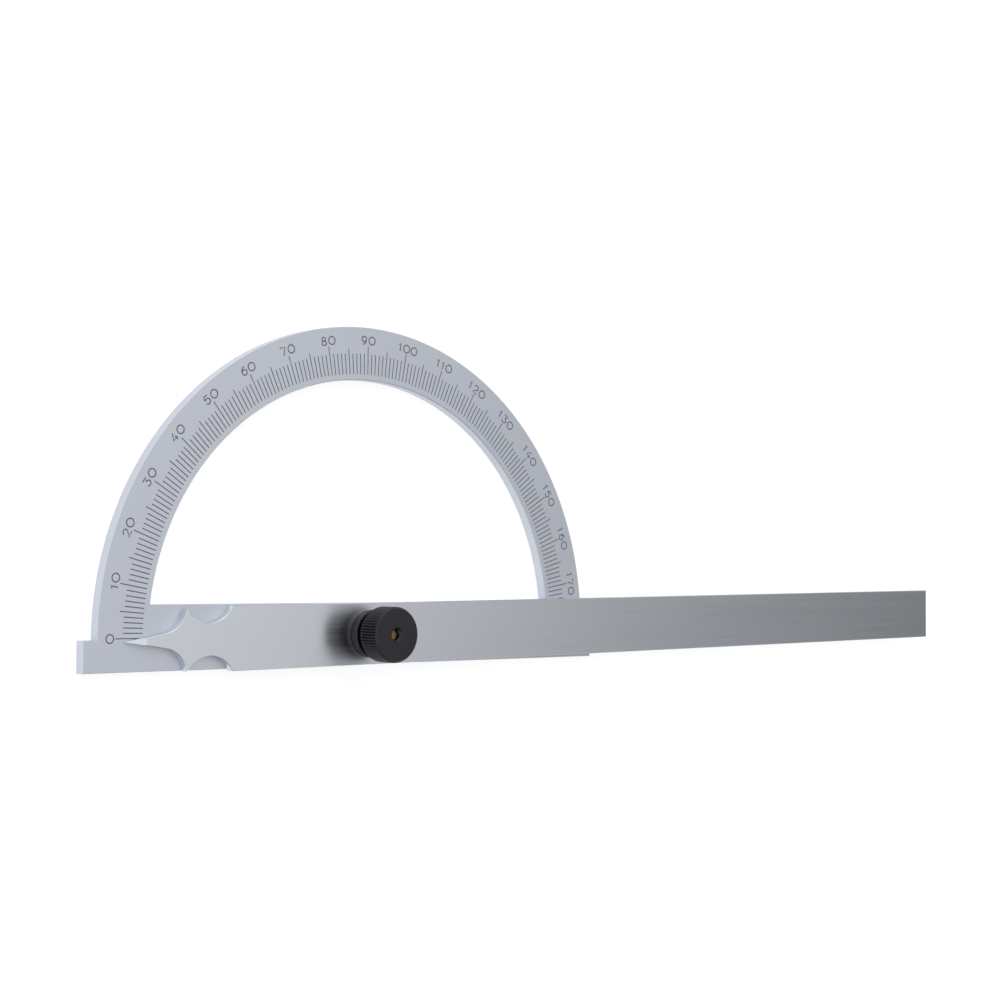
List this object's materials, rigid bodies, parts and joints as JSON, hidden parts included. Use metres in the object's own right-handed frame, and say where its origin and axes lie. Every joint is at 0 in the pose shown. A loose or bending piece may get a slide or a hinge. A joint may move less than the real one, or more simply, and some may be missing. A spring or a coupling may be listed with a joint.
{
  "type": "bevel protractor",
  "caption": "Open-arc steel protractor: a half-round graduated plate on a base bar, a long pivoting blade with a pointer, and a knurled clamp nut.",
  "frame": {"origin": "the pivot axis at the back face of the scale plate, the face the tool lies on", "axes": "+X along the zero line towards the blade's long end, +Y towards the crown of the arc, +Z out of the graduated face"},
  "size_m": [0.3103, 0.0829, 0.0152],
  "materials": {
    "satin_chromed_steel": "satin hard chrome with black engraved graduation",
    "brushed_steel": "fine lengthwise brushing",
    "brass": "turned brass",
    "black_oxide_steel": "black oxide, turned and knurled"
  },
  "bodies": {
    "scale": {"scale_plate": "satin_chromed_steel", "pivot_stud": "brass"},
    "blade": {"blade": "brushed_steel"},
    "washer": {"clamp_washer": "black_oxide_steel"},
    "nut": {"clamp_nut": "black_oxide_steel"}
  },
  "joints": [
    {"name": "blade_pivot", "type": "hinge", "parent": "scale", "child": "blade", "pos_m": [0, 0, 0.00383], "axis": [0, 0, -1], "continuous": true},
    {"name": "washer_lift", "type": "slide", "parent": "scale", "child": "washer", "axis": [0, 0, 1], "range_m": [0, 0.001]},
    {"name": "nut_turn", "type": "hinge", "parent": "washer", "child": "nut", "pos_m": [0, 0, 0.01], "axis": [0, 0, 1], "range_deg": [0, 720]}
  ],
  "couplings": [
    {"joint": "washer_lift", "follows": "nut_turn", "m_per_rad": 0.000079577}
  ]
}
